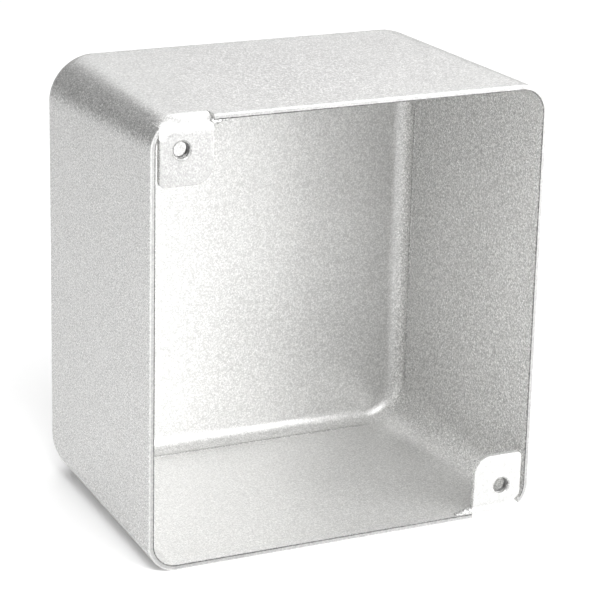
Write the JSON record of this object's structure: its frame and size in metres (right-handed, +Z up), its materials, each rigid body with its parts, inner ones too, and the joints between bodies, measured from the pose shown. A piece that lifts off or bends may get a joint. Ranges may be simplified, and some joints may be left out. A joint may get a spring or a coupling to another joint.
{
  "type": "electrical junction box",
  "caption": "Deep open-fronted galvanised steel junction box, blank on every side, with a rounded back and diagonal folded ears tapped for cover screws.",
  "frame": {"origin": "centre of the outer back face, where the box is fastened to a wall", "axes": "+Z up, +X to the right of somebody looking into the open front, +Y into the box and out through its back"},
  "size_m": [0.119, 0.0815, 0.1282],
  "materials": {
    "galvanised_sheet": "matt zinc with a fine grain, brighter on the cut edges",
    "galvanised_ear": "matt zinc, slightly brighter where it was folded",
    "weld_metal": "rough zinc-coated weld metal"
  },
  "bodies": {
    "root": {"wall_ring": "galvanised_sheet", "back_tray": "galvanised_sheet", "upper_ear": "galvanised_ear", "lower_ear": "galvanised_ear", "seam_beads": "weld_metal", "ear_tack_welds": "weld_metal"}
  },
  "joints": []
}
